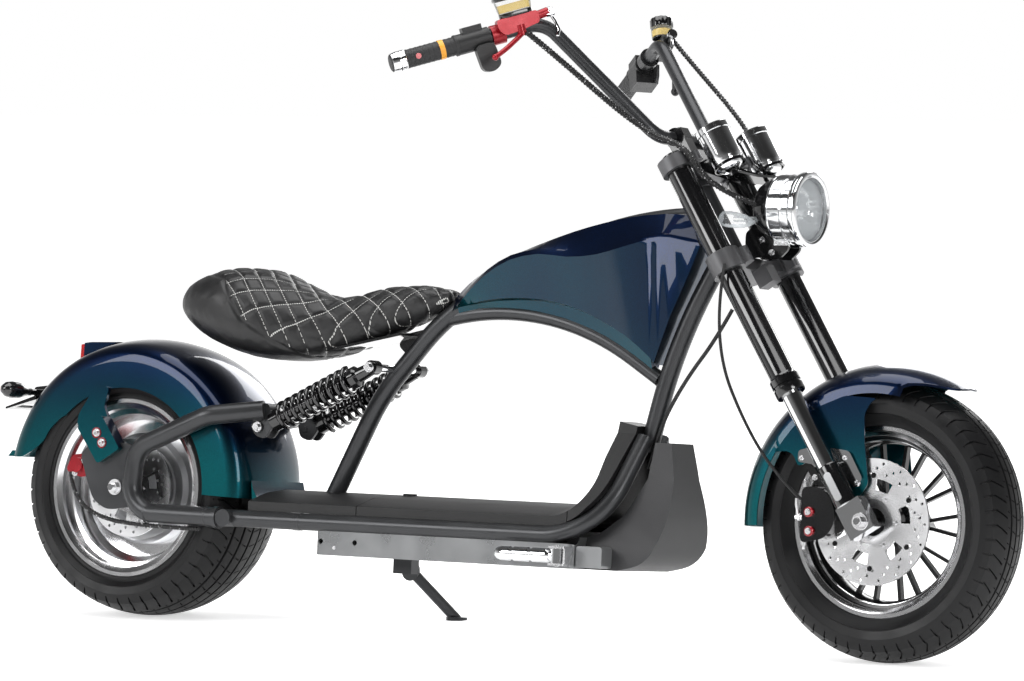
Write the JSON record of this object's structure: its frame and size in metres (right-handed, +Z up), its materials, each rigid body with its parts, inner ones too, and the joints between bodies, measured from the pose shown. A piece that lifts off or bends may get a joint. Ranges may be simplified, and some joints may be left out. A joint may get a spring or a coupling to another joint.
{
  "type": "electric chopper scooter",
  "caption": "Electric chopper scooter with a fat rear wheel, long raked fork, high handlebar, quilted saddle, low deck and side stand.",
  "frame": {"origin": "on the floor under the middle of the vehicle's box, as it stands on its side stand", "axes": "+X forward, +Y to the rider's left, +Z up; the vehicle leans 5 degrees to the left"},
  "size_m": [2.1365, 0.8083, 1.1851],
  "materials": {
    "teal_paint": "metallic blue-green gloss",
    "frame_paint": "dark grey satin",
    "black_paint": "gloss black",
    "clamp_grey": "satin grey",
    "chrome": "polished",
    "bare_steel": "brushed",
    "cast_alloy": "satin",
    "box_grey": "satin light grey",
    "tyre": "black rubber",
    "grip_rubber": "matt",
    "seat_leather": "black, white stitching",
    "deck_plastic": "textured black",
    "shield_plastic": "textured dark grey",
    "clear_lens": "clear",
    "red_lens": "red",
    "red_paint": "gloss red",
    "hose_rubber": "black, with white flecks",
    "battery_case": "plain black"
  },
  "bodies": {
    "chassis": {"head_tube": "frame_paint", "backbone_tube": "frame_paint", "down_tube": "frame_paint", "deck_rails": "frame_paint", "cross_tube": "frame_paint", "pivot_tube": "frame_paint", "deck_board": "deck_plastic", "battery_box": "box_grey", "battery_block": "battery_case", "front_shield": "shield_plastic", "shield_plates": "box_grey", "tank_shell": "teal_paint", "seat": "seat_leather", "seat_pan": "black_paint", "swing_arm": "frame_paint", "axle_plates": "frame_paint", "rear_axle": "chrome", "rear_fender": "teal_paint", "fender_stays": "teal_paint", "tail_light": "teal_paint", "tail_lens": "red_lens", "rear_signals": "black_paint", "rear_caliper": "red_paint", "shock_bodies": "black_paint", "shock_springs": "black_paint", "shock_pin": "chrome", "peg_brackets": "bare_steel", "stand_bracket": "frame_paint", "rear_brake_hose": "hose_rubber"},
    "steering": {"lower_clamp": "clamp_grey", "upper_clamp": "clamp_grey", "fork_tubes": "black_paint", "fork_sliders": "chrome", "front_axle": "chrome", "front_fender": "teal_paint", "front_caliper": "black_paint", "headlight": "black_paint", "headlight_lens": "clear_lens", "front_signals": "clear_lens", "gauges": "chrome", "handlebar": "frame_paint", "riser": "black_paint", "grips": "grip_rubber", "brake_controls": "black_paint", "fork_sleeves": "black_paint", "brake_levers": "red_paint", "reservoirs": "clear_lens", "bar_hoses": "hose_rubber", "front_brake_hose": "hose_rubber"},
    "front_wheel": {"front_tyre": "tyre", "front_rim": "black_paint", "front_disc": "bare_steel"},
    "rear_wheel": {"rear_tyre": "tyre", "rear_rim": "chrome", "hub_motor": "cast_alloy", "rear_disc": "bare_steel"},
    "side_stand": {"side_stand": "frame_paint"},
    "right_peg": {"right_peg": "chrome"},
    "left_peg": {"left_peg": "chrome"},
    "deck_lid": {"deck_lid": "deck_plastic"}
  },
  "joints": [
    {"name": "steer", "type": "hinge", "parent": "chassis", "child": "steering", "pos_m": [0.50693, -0.03395, 0.66354], "axis": [-0.5358, 0.0736, 0.8411], "range_deg": [-35, 35]},
    {"name": "front_wheel_spin", "type": "hinge", "parent": "steering", "child": "front_wheel", "pos_m": [0.827, -0.07075, 0.24292], "axis": [0, 0.9962, -0.0872], "continuous": true},
    {"name": "rear_wheel_spin", "type": "hinge", "parent": "chassis", "child": "rear_wheel", "pos_m": [-0.74, -0.07113, 0.23854], "axis": [0, 0.9962, -0.0872], "continuous": true},
    {"name": "stand_fold", "type": "hinge", "parent": "chassis", "child": "side_stand", "pos_m": [-0.24, 0.04293, 0.09661], "axis": [-0.4407, 0.8929, 0.0928], "range_deg": [0, 105]},
    {"name": "right_peg_fold", "type": "hinge", "parent": "chassis", "child": "right_peg", "pos_m": [0.245, -0.23073, 0.16974], "axis": [0, 0.0872, 0.9962], "range_deg": [0, 90]},
    {"name": "left_peg_fold", "type": "hinge", "parent": "chassis", "child": "left_peg", "pos_m": [0.245, 0.0741, 0.14307], "axis": [0, -0.0872, -0.9962], "range_deg": [0, 90]},
    {"name": "lid_lift", "type": "hinge", "parent": "chassis", "child": "deck_lid", "pos_m": [0.24375, -0.06864, 0.26698], "axis": [0, 0.9962, -0.0872], "range_deg": [0, 40]}
  ]
}
